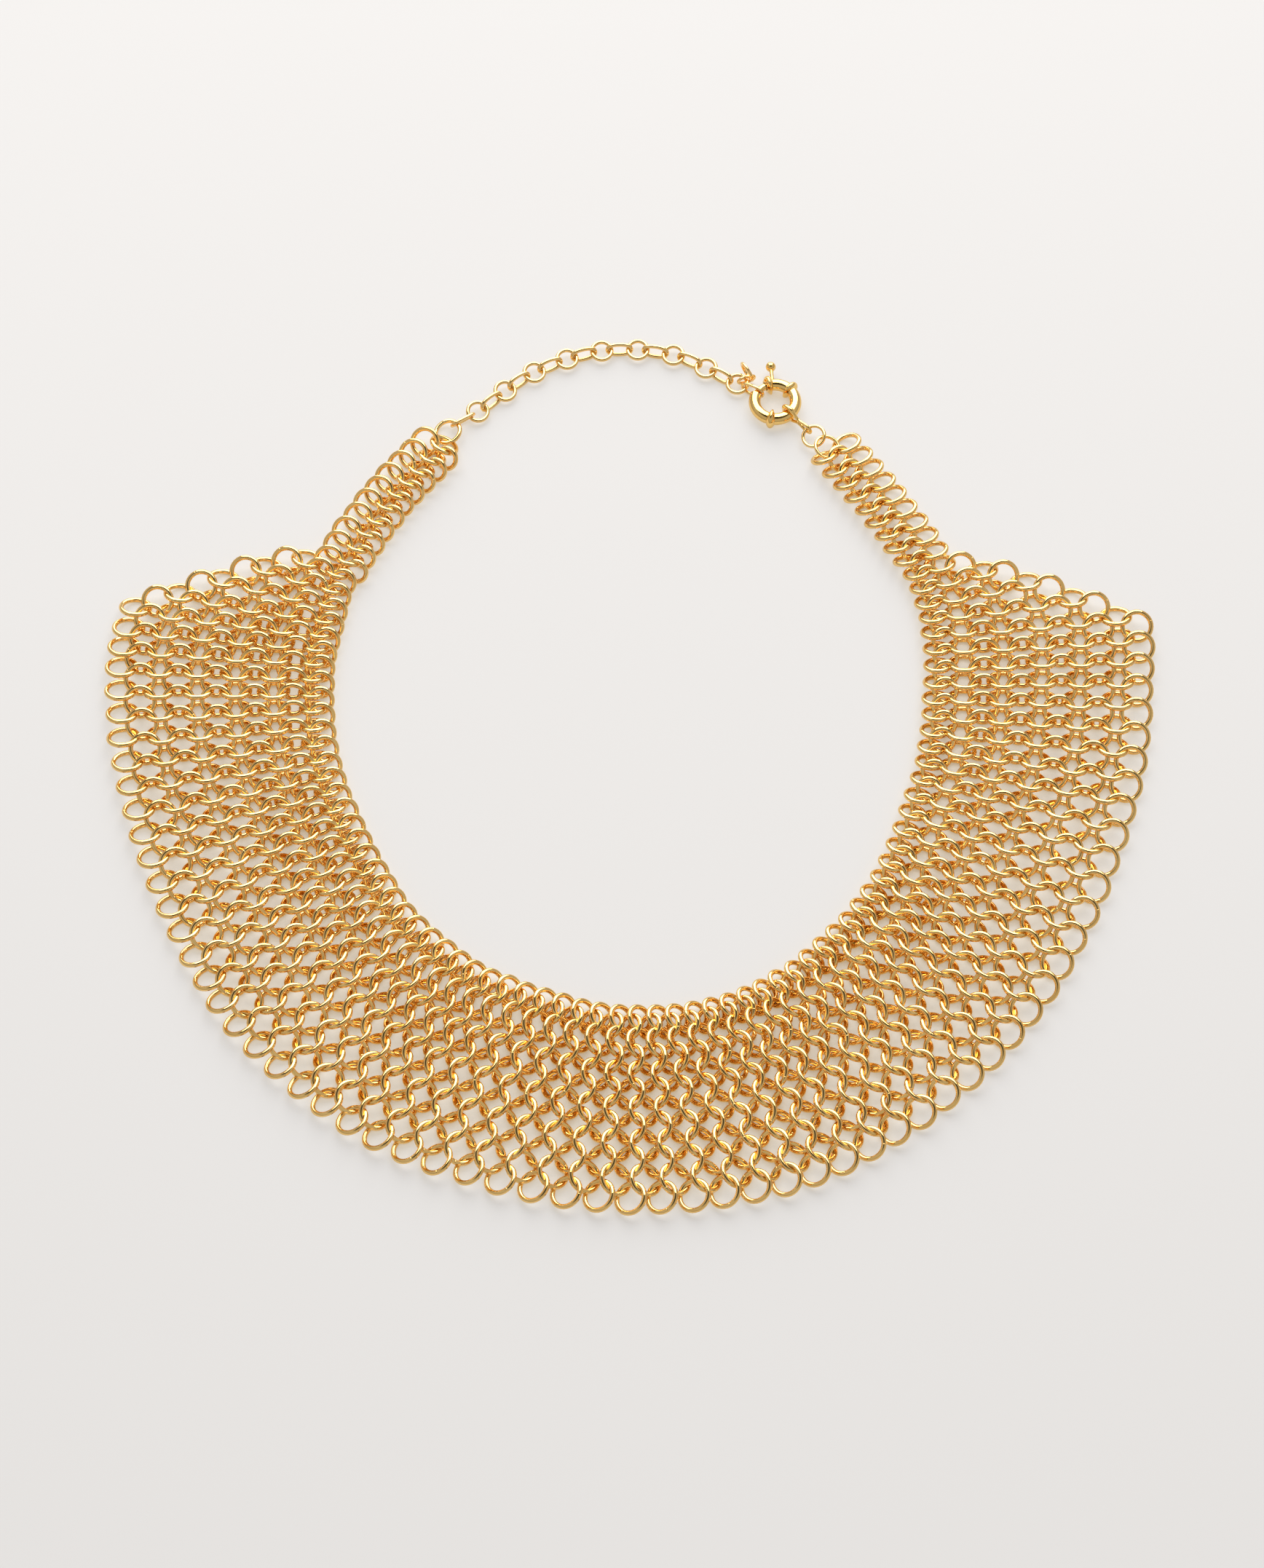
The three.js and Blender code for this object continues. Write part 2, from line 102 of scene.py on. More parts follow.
# Steps along the clasp's tubes, and sides round them.
BODY_STEPS, BODY_SIDES = 220, 36
BORE_STEPS, BORE_SIDES = 30, 28
PIN_STEPS, STEM_STEPS, GATE_SIDES = 40, 14, 24
SLOT_STEPS = 14
EIGHT_ANGLE = -45.5
EIGHT_WIRE = 0.37
EIGHT_STEPS = 90
CURVE_STEPS = 12            # steps between two points of its outline
EIGHT_SWELL = 0.2           # the wire is thicker above the tube
EIGHT_SWELL_END = 1.6       # where that ends, along the link

# The neckline at some of the mail's rows: row number, x, y, outward bearing, column pitch.
SECTIONS = np.array([
    (-13.0, -42.5, 77.5, 139, 7.5),
    (-8.0, -54.5, 62.0, 146, 7.5),
    (-3.5, -63.5, 46.0, 155, 7.6),
    (0.0, -67.0, 32.5, 169, 8.1),
    (4.0, -69.0, 18.0, 177, 8.3),
    (10.0, -66.0, -6.0, 192, 7.9),
    (18.0, -52.5, -35.5, 216, 7.9),
    (22.0, -41.5, -48.0, 229, 7.8),
    (26.0, -28.0, -57.0, 243, 7.7),
    (33.0, 0.0, -64.5, 270, 7.5),
    (40.0, 27.0, -59.0, 295, 7.6),
    (48.0, 51.5, -37.0, 322, 7.7),
    (56.0, 65.0, -5.5, 347, 8.0),
    (61.0, 68.0, 14.5, 360, 8.3),
    (65.0, 68.0, 31.0, 367, 8.4),
    (68.5, 64.5, 44.5, 381, 7.6),
    (73.0, 55.5, 60.0, 393, 7.5),
    (77.5, 45.0, 75.0, 399, 7.5),
])

# The straps' rings: row shift, column, radius, lean, turn.
LEFT_STRAP = {
    "forward": (0.06, 0.85, 2.7, 36, 8),
    "inner": (0.56, 0.50, 2.3, 48, -2),
    "outer": (0.60, 1.38, 3.05, 33, 4),
}
LEFT_STRAP_LAST = (0.0, 0.86, 2.9, 34, -4)     # the forward ring that the chain's ring holds
RIGHT_STRAP = {
    "forward": (-0.08, 1.06, 2.56, 33, 4),
    "inner": (0.45, 0.67, 2.54, 41, -11),
    "outer": (0.42, 1.55, 2.97, 31, 6),
}

# Single links that keep their solids' form and place: wire radius.
SINGLE_LINKS = {"hook_link": 0.35, "tail_link": 0.35, "tail_ring": 0.36, "jump_ring_outer": 0.4}
CONNECTOR_WIRE = 0.4
CONNECTOR_ROLL = 18.0       # the connector link's turn on its long axis

# Rings at the straps' ends: wire radius, middle, tilt, heading, radius.
END_LINKS = {
    "jump_ring_inner": (0.4, (44.0, 76.35, 1.93), 15, -10, 2.75),
    "strap_end_ring": (0.5, (-41.05, 80.8, 1.32), 16, 186, 2.85),
}

# Upper half of the figure-eight link from the middle of the clasp's tube: along, height.
EIGHT_OUTLINE = [
    (-1.87, 0.0), (-1.32, 1.32), (0.0, 1.87), (1.3, 1.35), (2.5, 0.62),
    (3.6, 0.62), (5.1, 1.0), (6.2, 0.7), (6.55, 0.0),
]

# Golds: colour, roughness, scale of the tarnish.
GOLDS = {
    "gold_mail": ((0.90, 0.605, 0.23), 0.065, 160.0),
    "gold_chain": ((0.93, 0.64, 0.26), 0.07, 200.0),
    "gold_clasp": ((0.91, 0.61, 0.21), 0.05, 120.0),
}
TARNISH = (0.93, 0.86, 0.74)        # share of each colour that is left where it is tarnished
TARNISH_RANGE = (0.3, 0.65)         # noise at which the tarnish is full, and gone
WEAR_RANGE = (0.3, 0.75)            # noise over which the fine wear grows
WEAR_SHARES = (0.75, 1.45)          # share of the roughness at either end of it
WEAR_SCALE, WAVE_SCALE = 900.0, 420.0
WAVE_STRENGTH, WAVE_HEIGHT = 0.12, 0.2
# The noises in the gold: detail, roughness.
NOISES = {"tarnish": (3.0, 0.5), "wear": (5.0, 0.65), "wave": (2.0, 0.5)}

FLOOR_HALF = 6000.0         # half the floor's side
FLOOR_DROP = 0.02           # the floor lies this far under the mail
FLOOR_COLORS = [(0.265, 0.262, 0.26, 1), (0.275, 0.272, 0.27, 1)]
FLOOR_GRAIN = 3.0
FLOOR_ROUGHNESS, FLOOR_SPECULAR = 0.85, 0.15
# The pale floor's own light by the share of open sky above it: share, colour. Where the sky is open
# it is even. Where the gold covers the floor it is painted warm light thrown back by the gold.
# Where the cover is deepest it is painted brown shade.
FLOOR_PAINTED_BOUNCE_AND_SHADE = [
    (0.05, (0.35, 0.26, 0.16, 1)),
    (0.30, (0.60, 0.54, 0.44, 1)),
    (0.80, (0.48, 0.465, 0.45, 1)),
]
PAINTED_BOUNCE_REACH = 9.0            # how far round a point the sky above it is looked for
PAINTED_BOUNCE_SAMPLES = 8
# Brightness of the room by height: sine of the elevation, and the brightness there.
ROOM = [(0.0, 0.38), (0.5, 0.56), (0.8, 0.6), (0.92, 0.09), (1.0, 0.05)]
ROOM_TINT = (1.0, 0.985, 0.97)

# The soft box behind the necklace; its place and sides are metres, its power is watts.
KEY_PLACE = (0.0, 0.77, 0.64)
KEY_WIDTH, KEY_HEIGHT = 1.2, 1.3
KEY_WATTS = 21.0
KEY_COLOR = (1.0, 0.99, 0.98)

CAMERA_ELEVATION = 63.0
CAMERA_DISTANCE = 800.0
CAMERA_TARGET = (0.3, -7.2, 0.0)
FOCAL_PIXELS = 5133.0
PHOTO_HEIGHT_PIXELS = 2154.0
SENSOR_HEIGHT = 36.0        # Blender's film height, which the lens length goes with
NEAR_CLIP = 10.0


# ---- meshes --------------------------------------------------------------------------
def make_object(name, vertices, faces, material, smooth=True):
    """A mesh object from vertices in millimetres."""
    mesh = bpy.data.meshes.new(name)
    mesh.from_pydata((np.asarray(vertices) * MM).tolist(), [], [list(f) for f in faces])
    mesh.update()
    if smooth:
        mesh.shade_smooth()
    mesh.materials.append(material)
    obj = bpy.data.objects.new(name, mesh)
    bpy.context.collection.objects.link(obj)
    return obj


def tube(path, wire, sides, closed=True):
    """Vertices and faces of a tube along a path; wire is a number or one radius a point."""
    path = np.asarray(path, float)
    count = len(path)
    wire = np.broadcast_to(np.asarray(wire, float), (count,))
    if closed:
        tangent = np.roll(path, -1, 0) - np.roll(path, 1, 0)
    else:
        tangent = np.gradient(path, axis=0)
    tangent /= np.linalg.norm(tangent, axis=1)[:, None]
    normal = np.cross(tangent[0], [0.0, 0.0, 1.0])
    if np.linalg.norm(normal) < 0.1:      # the path starts nearly upright
        normal = np.cross(tangent[0], [1.0, 0.0, 0.0])
    normals = []
    for t in tangent:
        normal = normal - np.dot(normal, t) * t
        normal /= np.linalg.norm(normal)
        normals.append(normal)
    normals = np.array(normals)
    if closed:
        end = normals[-1] - np.dot(normals[-1], tangent[0]) * tangent[0]
        side = np.cross(tangent[0], normals[0])
        twist = math.atan2(np.dot(end, side), np.dot(end, normals[0]))
        angles = -twist * np.arange(count) / count
    else:
        angles = np.zeros(count)
    binormals = np.cross(tangent, normals)
    turn = 2 * math.pi * np.arange(sides) / sides
    a = turn[None, :] + angles[:, None]
    vertices = (path[:, None, :]
                + (wire[:, None] * np.cos(a))[..., None] * normals[:, None, :]
                + (wire[:, None] * np.sin(a))[..., None] * binormals[:, None, :])
    faces = []
    spans = count if closed else count - 1
    for i in range(spans):
        j = (i + 1) % count
        for k in range(sides):
            m = (k + 1) % sides
            faces.append((i * sides + k, j * sides + k, j * sides + m, i * sides + m))
    vertices = vertices.reshape(-1, 3)
    if not closed:
        faces.append(tuple(range(sides)))
        faces.append(tuple(range((count - 1) * sides, count * sides))[::-1])
    return vertices, faces


def joined(parts):
    """One list of vertices and one of faces, from several of each."""
    vertices, faces, base = [], [], 0
    for part_vertices, part_faces in parts:
        vertices.append(part_vertices)
        faces.extend(tuple(i + base for i in face) for face in part_faces)
        base += len(part_vertices)
    return np.vstack(vertices), faces


# ---- materials -----------------------------------------------------------------------
def noise_node(nodes, links, place, kind, scale):
    """A noise over the piece's own space, of one of the kinds in NOISES."""
    noise = nodes.new("ShaderNodeTexNoise")
    noise.inputs["Scale"].default_value = scale
    noise.inputs["Detail"].default_value, noise.inputs["Roughness"].default_value = NOISES[kind]
    links.new(place.outputs["Object"], noise.inputs["Vector"])
    return noise


def gold_material(name):
    """Polished gold-tone plating: fine wear, soft waviness, and a little tarnish."""
    color, roughness, tarnish_scale = GOLDS[name]
    material = bpy.data.materials.new(name)
    material.use_nodes = True
    nodes, links = material.node_tree.nodes, material.node_tree.links
    shader = nodes["Principled BSDF"]
    shader.inputs["Metallic"].default_value = 1.0
    place = nodes.new("ShaderNodeTexCoord")

    tint = noise_node(nodes, links, place, "tarnish", tarnish_scale)
    ramp = nodes.new("ShaderNodeValToRGB")
    tarnished, clean = ramp.color_ramp.elements
    tarnished.position, clean.position = TARNISH_RANGE
    tarnished.color = tuple(c * share for c, share in zip(color, TARNISH)) + (1,)
    clean.color = color + (1,)
    links.new(tint.outputs["Fac"], ramp.inputs["Fac"])
    links.new(ramp.outputs["Color"], shader.inputs["Base Color"])

    wear = noise_node(nodes, links, place, "wear", WEAR_SCALE)
    spread = nodes.new("ShaderNodeMapRange")
    spread.inputs["From Min"].default_value = WEAR_RANGE[0]
    spread.inputs["From Max"].default_value = WEAR_RANGE[1]
    spread.inputs["To Min"].default_value = roughness * WEAR_SHARES[0]
    spread.inputs["To Max"].default_value = roughness * WEAR_SHARES[1]
    links.new(wear.outputs["Fac"], spread.inputs["Value"])
    links.new(spread.outputs["Result"], shader.inputs["Roughness"])

    wave = noise_node(nodes, links, place, "wave", WAVE_SCALE)
    bump = nodes.new("ShaderNodeBump")
    bump.inputs["Strength"].default_value = WAVE_STRENGTH
    bump.inputs["Distance"].default_value = WAVE_HEIGHT * MM
    links.new(wave.outputs["Fac"], bump.inputs["Height"])
    links.new(bump.outputs["Normal"], shader.inputs["Normal"])
    return material


def fill_ramp(ramp, stops):
    """Sets a ramp's stops: position, colour. A new ramp has two, so the rest are added."""
    elements = ramp.color_ramp.elements
    for index, (position, color) in enumerate(stops):
        element = elements[index] if index < 2 else elements.new(position)
        element.position, element.color = position, color


def floor_material():
    """Pale paper that lights itself a little. It is even on open floor, has painted light that the
    gold throws back where the mail covers it, and has painted shade where the mail covers it most.
    """
    material = bpy.data.materials.new("floor_paper_painted_bounce")
    material.use_nodes = True
    nodes, links = material.node_tree.nodes, material.node_tree.links
    shader = nodes["Principled BSDF"]
    shader.inputs["Roughness"].default_value = FLOOR_ROUGHNESS
    shader.inputs["Specular IOR Level"].default_value = FLOOR_SPECULAR
    place = nodes.new("ShaderNodeTexCoord")
    grain = nodes.new("ShaderNodeTexNoise")
    grain.inputs["Scale"].default_value = FLOOR_GRAIN
    links.new(place.outputs["Object"], grain.inputs["Vector"])
    ramp = nodes.new("ShaderNodeValToRGB")
    for element, color in zip(ramp.color_ramp.elements, FLOOR_COLORS):
        element.color = color
    links.new(grain.outputs["Fac"], ramp.inputs["Fac"])
    links.new(ramp.outputs["Color"], shader.inputs["Base Color"])

    # Painted bounce light and painted shade: the floor's own light follows how much the gold around
    # a point covers it.
    cover = nodes.new("ShaderNodeAmbientOcclusion")
    cover.samples = PAINTED_BOUNCE_SAMPLES
    cover.inputs["Distance"].default_value = PAINTED_BOUNCE_REACH * MM
    painted_bounce_ramp = nodes.new("ShaderNodeValToRGB")
    fill_ramp(painted_bounce_ramp, FLOOR_PAINTED_BOUNCE_AND_SHADE)
    links.new(cover.outputs["AO"], painted_bounce_ramp.inputs["Fac"])
    links.new(painted_bounce_ramp.outputs["Color"], shader.inputs["Emission Color"])
    shader.inputs["Emission Strength"].default_value = 1.0
    return material


GOLD_MAIL, GOLD_CHAIN, GOLD_CLASP = [gold_material(name) for name in GOLDS]


# ---- the mail's grid of rows and columns -----------------------------------------------
def section(row):
    """The table of sections at any row, with a smooth blend between its rows."""
    table = SECTIONS
    k = int(np.clip(np.searchsorted(table[:, 0], row) - 1, 0, len(table) - 2))

    def slope(i):
        after, before = table[min(i + 1, len(table) - 1)], table[max(i - 1, 0)]
        return (after - before) / (after[0] - before[0])

    span = table[k + 1, 0] - table[k, 0]
    t = (row - table[k, 0]) / span
    return ((2 * t**3 - 3 * t**2 + 1) * table[k]
            + (t**3 - 2 * t**2 + t) * slope(k) * span
            + (3 * t**2 - 2 * t**3) * table[k + 1]
            + (t**3 - t**2) * slope(k + 1) * span)


def rings_across(k, extra):
    """Number of rings in row k of the bib, from the neckline outwards."""
    return min(COLUMNS, k - BIB_FIRST + extra, BIB_LAST + 2 - k)


def row_rings(k):
    """Every ring of row k: row place, column place, radius, lean, side of the lean, turn."""
    rings = []
    if k <= BIB_FIRST or k > BIB_LAST:
        strap = LEFT_STRAP if k <= BIB_FIRST else RIGHT_STRAP
        for kind, side in (("forward", 1), ("inner", -1), ("outer", -1)):
            shift, column, radius, lean, turn = strap[kind]
            if (k, kind) == (FIRST_ROW, "forward"):
                shift, column, radius, lean, turn = LEFT_STRAP_LAST
            rings.append((k + shift, column, radius, lean, side, turn))
        return rings
    for j in range(rings_across(k, 1)):
        radius = RING_NECK_FORWARD if j == 0 else RING_MAIN
        rings.append((float(k), j + 1.0, radius, bib_lean(j + 1.0), 1, 0))
    for j in range(rings_across(k, 2)):
        column = NECK_COLUMN if j == 0 else j + 0.5
        radius = RING_NECK_BACKWARD if j == 0 else RING_MAIN
        rings.append((k + 0.5, column, radius, bib_lean(column), -1, 0))
    return rings


def bib_lean(column):
    """Lean of the bib's rings, from the neckline to the outer edge."""
    return float(np.interp(column, [1, COLUMNS], [LEAN_INNER, LEAN_OUTER]))


def directions(bearing):
    """Level unit vectors at a bearing and a quarter turn ahead of it."""
    out = np.array([math.cos(bearing), math.sin(bearing), 0.0])
    return out, np.array([-out[1], out[0], 0.0])


def mail_ring(row, column, radius, lean, lean_side, turned, random):
    """One ring of the mail, with the fine cut where its wire ends meet."""
    _, x, y, bearing, pitch = section(row)
    out, forward = directions(math.radians(bearing))
    lean = math.radians(lean + random.normal(0, LEAN_VARIES))
    centre = np.array([x, y, 0.0]) + (column - 1) * pitch * out
    centre += random.normal(0, PLACE_VARIES) * out + random.normal(0, PLACE_VARIES) * forward
    centre[2] = radius * math.sin(lean) + MAIL_WIRE
    out, forward = directions(math.radians(bearing) + math.radians(turned))

    cut_at = random.uniform(0, 2 * math.pi)
    half = CUT_HALF / radius
    clear = CUT_CLEAR * half
    angle = np.concatenate([
        cut_at + np.linspace(-half, half, CUT_STEPS),
        cut_at + np.linspace(clear, 2 * math.pi - clear, RING_STEPS),
    ])
    wire = np.full(len(angle), MAIL_WIRE)
    wire[CUT_STEPS // 2] = MAIL_WIRE * CUT_WIRE
    up = np.array([0.0, 0.0, 1.0])
    leaning = math.cos(lean) * forward + lean_side * math.sin(lean) * up
    radial = np.outer(np.cos(angle), leaning) + np.outer(np.sin(angle), out)
    normal = np.cross(radial[0], radial[len(radial) // 3])
    normal /= np.linalg.norm(normal)
    turn = 2 * math.pi * np.arange(WIRE_SIDES) / WIRE_SIDES
    vertices = (centre + radius * radial[:, None, :]
                + wire[:, None, None] * np.cos(turn)[None, :, None] * radial[:, None, :]
                + wire[:, None, None] * np.sin(turn)[None, :, None] * normal)
    return vertices.reshape(-1, 3)


def ring_faces():
    """Faces of one mail ring; they are the same for every ring."""
    count = RING_STEPS + CUT_STEPS
    faces = []
    for i in range(count):
        j = (i + 1) % count
        for k in range(WIRE_SIDES):
            m = (k + 1) % WIRE_SIDES
            faces.append((i * WIRE_SIDES + k, i * WIRE_SIDES + m,
                          j * WIRE_SIDES + m, j * WIRE_SIDES + k))
    return faces


def mail_piece(name, node, rows):
    """The rings of some rows as one piece, in place of their solid."""
    random = np.random.default_rng(RANDOM_SEED + rows[0])
    faces = ring_faces()
    parts = [(mail_ring(*ring, random), faces) for k in rows for ring in row_rings(k)]
    piece = make_object(name, *joined(parts), GOLD_MAIL)
    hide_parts(node)
    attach(piece, "necklace")


for number, first in enumerate(range(BIB_FIRST + 1, BIB_LAST, PANEL_ROWS), start=1):
    rows = range(first, first + PANEL_ROWS)
    mail_piece(f"mail_rings_{number:02d}", f"mail_bib_{number:02d}", rows)
mail_piece("mail_rings_strap_left", "mail_strap_left", range(FIRST_ROW, BIB_FIRST + 1))
mail_piece("mail_rings_strap_right", "mail_strap_right", range(BIB_LAST + 1, LAST_ROW + 1))


# ---- chain and single links ------------------------------------------------------------
def link_frame(node):
    """A link's centre, its axes (along, across, normal) and half sizes, from its solid."""
    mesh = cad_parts[node].data
    points = np.array([v.co for v in mesh.vertices]) / MM
    middle = (points.min(0) + points.max(0)) / 2
    _, _, axes = np.linalg.svd(points - middle, full_matrices=False)
    normal = axes[2] if axes[2][2] > 0 else -axes[2]
    angles = np.linspace(0, math.pi, 360, endpoint=False)      # every half degree
    turned = np.outer(np.cos(angles), axes[0]) + np.outer(np.sin(angles), axes[1])
    across = turned[np.argmin(np.ptp((points - middle) @ turned.T, axis=0))]
    along = np.cross(across, normal)
    if along[0] < 0:
        along = -along
    across = np.cross(normal, along)
    basis = np.array([along, across, normal])
    local = (points - middle) @ basis.T
    centre = middle + ((local.max(0) + local.min(0)) / 2) @ basis
    half = (local.max(0) - local.min(0)) / 2
    if half[0] < ROUND_BELOW * half[1]:
        half[:2] = np.linalg.norm((points - centre) @ basis[:2].T, axis=1).max()
    return centre, basis, half


def oval_path(half_length, half_width):
    """Points round a full oval, or a circle where the two halves are alike."""
    angles = np.linspace(0, 2 * math.pi, LINK_STEPS, endpoint=False)
    sine, cosine = np.sin(angles), np.cos(angles)
    power = 1.0 if half_length < ROUND_BELOW * half_width else OVAL_POWER
    return np.stack([
        half_length * np.sign(cosine) * np.abs(cosine) ** power,
        half_width * np.sign(sine) * np.abs(sine) ** power,
    ], axis=1)


def link_piece(node, wire, solid_wire, trim=(0.0, 0.0), roll=0.0):
    """A round-wire link; trim is taken off its halves, roll turns it on its long axis."""
    centre, (along, across, normal), half = link_frame(node)
    across = math.cos(math.radians(roll)) * across + math.sin(math.radians(roll)) * normal
    flat = oval_path(half[0] - solid_wire - trim[0], half[1] - solid_wire - trim[1])
    path = centre + flat[:, :1] * along + flat[:, 1:] * across
    chain_wire(node, path, wire)


def chain_wire(node, path, wire):
    """A closed wire along a path, in place of a link's solid."""
    piece = make_object(f"{node}_wire", *tube(path, wire, LINK_SIDES), GOLD_CHAIN)
    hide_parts(node)
    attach(piece, "necklace")


def end_link(node, wire, place, tilt, heading, radius):
    """A ring at an end of a strap, turned so that it goes through the strap's last rings."""
    tilt, heading = math.radians(tilt), math.radians(heading)
    normal = Vector((
        math.sin(tilt) * math.cos(heading), math.sin(tilt) * math.sin(heading), math.cos(tilt)))
    turned = Vector((0, 0, 1)).rotation_difference(normal)
    path = [Vector(place) + turned @ Vector((x, y, 0)) for x, y in oval_path(radius, radius)]
    chain_wire(node, np.array(path), wire)


for index in range(1, CHAIN_ROUNDS + 1):
    link_piece(f"chain_round_{index}", CHAIN_WIRE, CHAIN_SOLID_WIRE)
for index in range(1, CHAIN_OVALS + 1):
    link_piece(f"chain_oval_{index}", CHAIN_WIRE, CHAIN_SOLID_WIRE, trim=OVAL_TRIM)
for node, wire in SINGLE_LINKS.items():
    link_piece(node, wire, wire)
for node, placed in END_LINKS.items():
    end_link(node, *placed)
link_piece("connector_link", CONNECTOR_WIRE, CONNECTOR_WIRE, roll=CONNECTOR_ROLL)


# ---- clasp -----------------------------------------------------------------------------
def clasp_point(angle, radius=CLASP_RING, height=0.0):
    """A point of the clasp, from its own angle, radius and height."""
    a = math.radians(angle)
    return CLASP_CENTRE + (radius * math.cos(a), radius * math.sin(a), height)


def arc_tube(start, end, wire, steps, sides, swell=None):
    """An open tube along the clasp's ring; swell adds to its radius by the angle."""
    angles = np.linspace(start, end, steps)
    path = [clasp_point(a) for a in angles]
    radii = [wire + (swell(a) if swell else 0) for a in angles]
    return tube(path, radii, sides, closed=False)


def collar_swell(angle):
    """How far the tube stands out at an angle, for its three pointed collars."""
    grow = 0.0
    for collar in COLLARS:
        off = abs((angle - collar + 180) % 360 - 180)
        grow = max(grow, (CLASP_COLLAR - CLASP_TUBE) * max(0.0, 1 - (off / COLLAR_HALF) ** 2))
    return grow


def cut(target, cutter):
    """Takes the cutter's form out of the target, and the cutter out of the scene."""
    recalculate(cutter)
    modifier = target.modifiers.new("cut", "BOOLEAN")
    modifier.object = cutter
    modifier.operation = "DIFFERENCE"
    modifier.solver = "EXACT"
    bpy.context.view_layer.objects.active = target
    bpy.ops.object.modifier_apply(modifier=modifier.name)
    bpy.data.objects.remove(cutter)


def slot_cutter():
    """The slit on the outer side of the clasp's tube, in which the knob's stem moves."""
    half, outer = STEM_RADIUS + SLOT_CLEARANCE, CLASP_RING + SLOT_REACH
    corners = ((CLASP_RING, -half), (outer, -half), (outer, half), (CLASP_RING, half))
    vertices, faces = [], []
    angles = np.linspace(SLOT_FROM, SLOT_TO, SLOT_STEPS)
    for a in angles:
        vertices.extend(clasp_point(a, radius, height) for radius, height in corners)
    for i in range(len(angles) - 1):
        for k in range(4):
            m = (k + 1) % 4
            faces.append((4 * i + k, 4 * i + m, 4 * i + 4 + m, 4 * i + 4 + k))
    faces.append((3, 2, 1, 0))
    last = 4 * (len(angles) - 1)
    faces.append((last, last + 1, last + 2, last + 3))
    return np.array(vertices), faces


def recalculate(obj):
    """Turns all faces outwards."""
    bm = bmesh.new()
    bm.from_mesh(obj.data)
    bmesh.ops.recalc_face_normals(bm, faces=bm.faces)
    bm.to_mesh(obj.data)
    bm.free()


def clasp_body():
    """The clasp's tube with its collars, hollow where the gate slides."""
    ring = arc_tube(
        MOUTH_LEFT, 360 + MOUTH_RIGHT, CLASP_TUBE, BODY_STEPS, BODY_SIDES, collar_swell)
    body = make_object("clasp_ring", *ring, GOLD_CLASP)
    recalculate(body)
    bores = ((BORE_FROM, MOUTH_RIGHT + BORE_OVERCUT), (MOUTH_LEFT - BORE_OVERCUT, POCKET_END))
    for start, end in bores:
        bore = arc_tube(start, end, CLASP_BORE, BORE_STEPS, BORE_SIDES)
        cut(body, make_object("bore", *bore, GOLD_CLASP))
    cut(body, make_object("slit", *slot_cutter(), GOLD_CLASP))
    body.data.shade_smooth()
    body.data.set_sharp_from_angle(angle=math.radians(BODY_SHARP))
    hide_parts("clasp_body")
    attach(body, "necklace")


def ball(radius, rings=16, sides=28):
    """A closed ball whose axis is +Y."""
    vertices, faces = [(0.0, -radius, 0.0)], []
    for i in range(1, rings):
        a = math.pi * i / rings
        for k in range(sides):
            b = 2 * math.pi * k / sides
            vertices.append((radius * math.sin(a) * math.cos(b), -radius * math.cos(a),
                             radius * math.sin(a) * math.sin(b)))
    vertices.append((0.0, radius, 0.0))
    top = len(vertices) - 1
    for k in range(sides):
        m = (k + 1) % sides
        faces.append((0, 1 + k, 1 + m))
        faces.append((top, top - sides + m, top - sides + k))
        for i in range(rings - 2):
            low = 1 + i * sides
            faces.append((low + k, low + sides + k, low + sides + m, low + m))
    return np.array(vertices), faces


def clasp_gate():
    """The curved pin that closes the mouth, with its stem and ball knob."""
    distances = np.linspace(CLASP_RING, KNOB_DISTANCE, STEM_STEPS)
    stem_path = [clasp_point(KNOB_ANGLE, d) for d in distances]
    widening = np.clip((distances - STEM_FLARE_FROM) / STEM_FLARE_LENGTH, 0, 1) ** 2
    stem_wire = STEM_RADIUS * (1 + STEM_FLARE * widening)
    stem = tube(stem_path, stem_wire, GATE_SIDES, closed=False)
    sphere, sphere_faces = ball(KNOB_RADIUS)
    a = math.radians(KNOB_ANGLE - 90)
    spin = np.array([[math.cos(a), -math.sin(a), 0], [math.sin(a), math.cos(a), 0], [0, 0, 1]])
    sphere = sphere @ spin.T + clasp_point(KNOB_ANGLE, KNOB_DISTANCE)
    pin = arc_tube(GATE_FROM, GATE_TO, GATE_PIN, PIN_STEPS, GATE_SIDES)
    shape = joined([pin, stem, (sphere, sphere_faces)])
    gate = make_object("gate_pin_and_knob", *shape, GOLD_CLASP)
    recalculate(gate)
    gate.data.shade_smooth()
    gate.data.set_sharp_from_angle(angle=math.radians(GATE_SHARP))
    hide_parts("clasp_gate")
    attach(gate, "gate")


def smooth_loop(points, steps):
    """Even points on a smooth closed curve through the given ones."""
    points = np.asarray(points, float)
    count = len(points)
    curve = []
    for i in range(count):
        p0, p1, p2, p3 = (points[(i + k) % count] for k in (-1, 0, 1, 2))
        for t in np.linspace(0, 1, CURVE_STEPS, endpoint=False):
            curve.append(0.5 * ((2 * p1) + (p2 - p0) * t + (2 * p0 - 5 * p1 + 4 * p2 - p3) * t**2
                                + (3 * p1 - p0 - 3 * p2 + p3) * t**3))
    curve = np.array(curve)
    steps_between = np.linalg.norm(np.roll(curve, -1, 0) - curve, axis=1)
    distance = np.concatenate([[0], np.cumsum(steps_between)])
    curve = np.vstack([curve, curve[:1]])
    even = np.linspace(0, distance[-1], steps, endpoint=False)
    return np.column_stack([np.interp(even, distance, curve[:, i]) for i in range(curve.shape[1])])


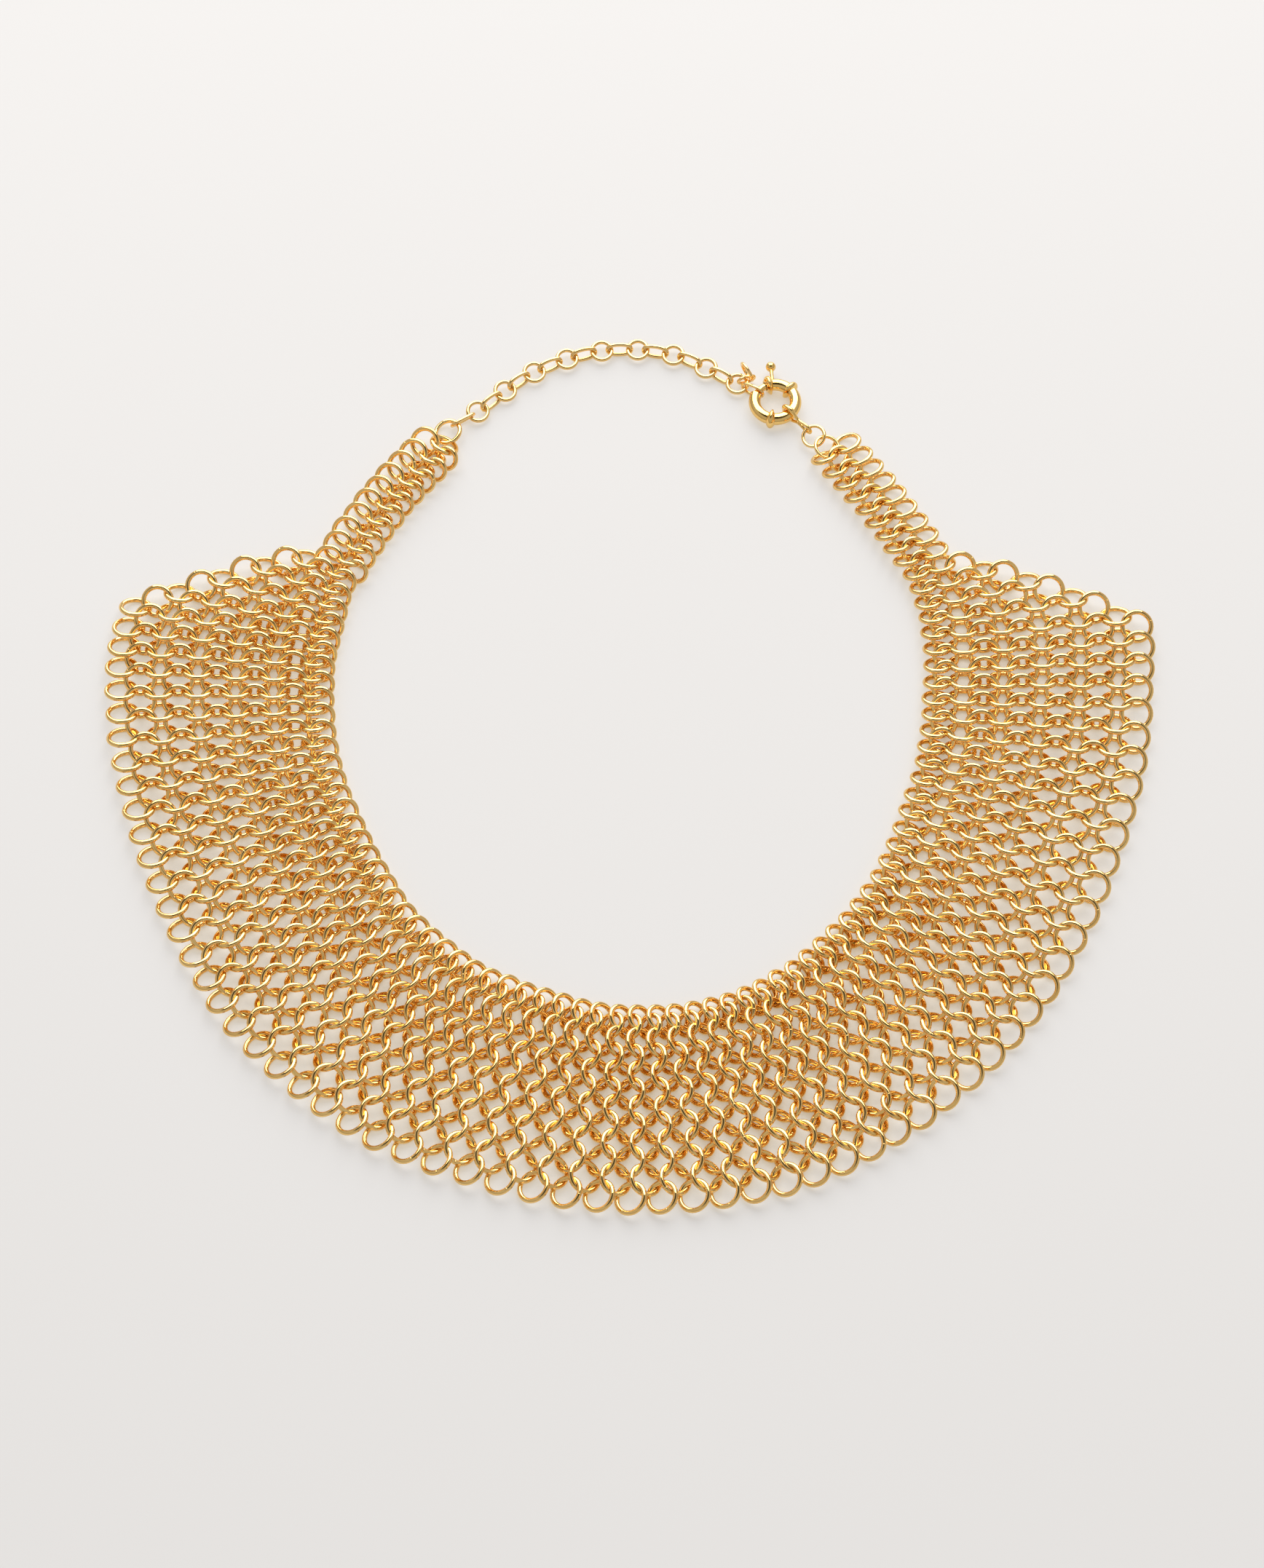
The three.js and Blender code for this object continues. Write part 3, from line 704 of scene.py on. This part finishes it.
def figure_eight():
    """The upright link round the clasp's tube; its growth goes outwards, so its hole stays."""
    lower = [(along, -height) for along, height in EIGHT_OUTLINE[-2:0:-1]]
    flat = smooth_loop(EIGHT_OUTLINE + lower, EIGHT_STEPS)
    seat = clasp_point(EIGHT_ANGLE)
    along, _ = directions(math.radians(EIGHT_ANGLE))
    up = np.array([0.0, 0.0, 1.0])
    near_tube = np.clip(EIGHT_SWELL_END - flat[:, 0], 0, 1)
    growth = EIGHT_SWELL * near_tube * np.clip(flat[:, 1], 0, 1)
    away = flat / np.maximum(np.linalg.norm(flat, axis=1), 0.1)[:, None]
    flat = flat + away * growth[:, None]
    path = seat + flat[:, :1] * along + flat[:, 1:] * up
    shape = tube(path, EIGHT_WIRE + growth, LINK_SIDES)
    piece = make_object("clasp_eight_wire", *shape, GOLD_CLASP)
    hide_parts("clasp_eight")
    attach(piece, "necklace")


clasp_body()
clasp_gate()
figure_eight()


# ---- floor, light and camera -------------------------------------------------------------
def floor():
    corners = [(x * FLOOR_HALF, y * FLOOR_HALF, 0) for x, y in ((-1, -1), (1, -1), (1, 1), (-1, 1))]
    plane = make_object("floor", corners, [(0, 1, 2, 3)], floor_material(), smooth=False)
    plane.location.z = -FLOOR_DROP * MM


def key_light():
    """A large soft box behind the necklace, aimed at its middle."""
    light = bpy.data.lights.new("key_behind", "AREA")
    light.shape = "RECTANGLE"
    light.size, light.size_y = KEY_WIDTH, KEY_HEIGHT
    light.energy = KEY_WATTS
    light.color = KEY_COLOR
    obj = bpy.data.objects.new("key_behind", light)
    obj.location = KEY_PLACE
    obj.rotation_euler = (-Vector(KEY_PLACE)).to_track_quat("-Z", "Y").to_euler()
    bpy.context.collection.objects.link(obj)


def world_light():
    """A pale room with a dark gap overhead."""
    world = bpy.data.worlds.new("studio")
    bpy.context.scene.world = world
    world.use_nodes = True
    nodes, links = world.node_tree.nodes, world.node_tree.links
    background = nodes["Background"]
    background.inputs["Strength"].default_value = 1.0
    place = nodes.new("ShaderNodeTexCoord")
    split = nodes.new("ShaderNodeSeparateXYZ")
    links.new(place.outputs["Generated"], split.inputs["Vector"])
    ramp = nodes.new("ShaderNodeValToRGB")
    fill_ramp(ramp, [(height, tuple(bright * tint for tint in ROOM_TINT) + (1,))
                     for height, bright in ROOM])
    links.new(split.outputs["Z"], ramp.inputs["Fac"])
    links.new(ramp.outputs["Color"], background.inputs["Color"])


def camera():
    """The photo's view: from in front, looking down at the necklace."""
    data = bpy.data.cameras.new("camera")
    data.sensor_fit = "VERTICAL"
    data.sensor_height = SENSOR_HEIGHT
    data.lens = FOCAL_PIXELS / PHOTO_HEIGHT_PIXELS * SENSOR_HEIGHT
    data.clip_start = NEAR_CLIP * MM
    obj = bpy.data.objects.new("camera", data)
    tilt = math.radians(CAMERA_ELEVATION)
    target = Vector(CAMERA_TARGET) * MM
    back = Vector((0, -math.cos(tilt), math.sin(tilt))) * CAMERA_DISTANCE * MM
    obj.location = target + back
    obj.rotation_euler = (math.radians(90 - CAMERA_ELEVATION), 0, 0)
    bpy.context.collection.objects.link(obj)
    bpy.context.scene.camera = obj


floor()
world_light()
key_light()
camera()

bpy.context.scene.view_settings.view_transform = "Standard"
